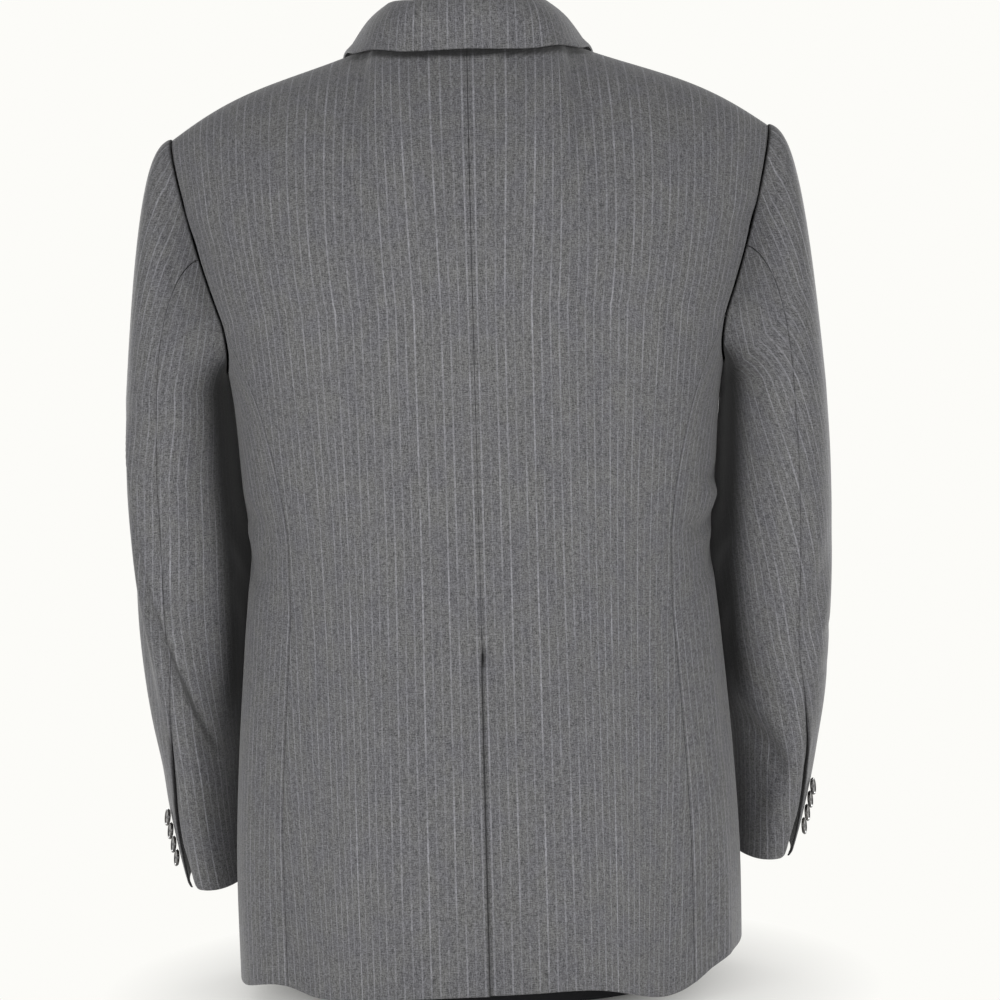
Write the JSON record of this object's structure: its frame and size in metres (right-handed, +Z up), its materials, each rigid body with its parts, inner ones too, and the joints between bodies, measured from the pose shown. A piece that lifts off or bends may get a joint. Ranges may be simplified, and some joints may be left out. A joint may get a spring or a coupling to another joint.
{
  "type": "two-button blazer on a torso form",
  "caption": "Grey pinstripe two-button blazer with a centre vent and empty sleeves, filled out on a smooth black limbless torso form that stands on its flat base.",
  "frame": {"origin": "centre of the whole part's bounding box, on the plane the form stands on", "axes": "+Z up, -Y towards the coat's front, +Y towards its back, +X towards the wearer's left"},
  "size_m": [0.5945, 0.3057, 0.868],
  "materials": {
    "cloth": "mid grey worsted with fine pale pinstripes",
    "buttons": "dark marbled, satin",
    "form_cover": "smooth black stretch cover"
  },
  "bodies": {
    "root": {"back_left": "cloth", "back_right": "cloth", "side_left": "cloth", "side_right": "cloth", "front_left": "cloth", "front_right": "cloth", "lapel_left": "cloth", "lapel_right": "cloth", "collar_stand": "cloth", "collar_fall": "cloth", "sleeve_left_top": "cloth", "sleeve_left_under": "cloth", "sleeve_right_top": "cloth", "sleeve_right_under": "cloth", "flap_left": "cloth", "flap_right": "cloth", "jet_left": "cloth", "jet_right": "cloth", "breast_welt": "cloth", "button_front_1": "buttons", "button_front_2": "buttons", "cuff_button_left_1": "buttons", "cuff_button_left_2": "buttons", "cuff_button_left_3": "buttons", "cuff_button_left_4": "buttons", "cuff_button_right_1": "buttons", "cuff_button_right_2": "buttons", "cuff_button_right_3": "buttons", "cuff_button_right_4": "buttons", "torso_form": "form_cover"}
  },
  "joints": []
}
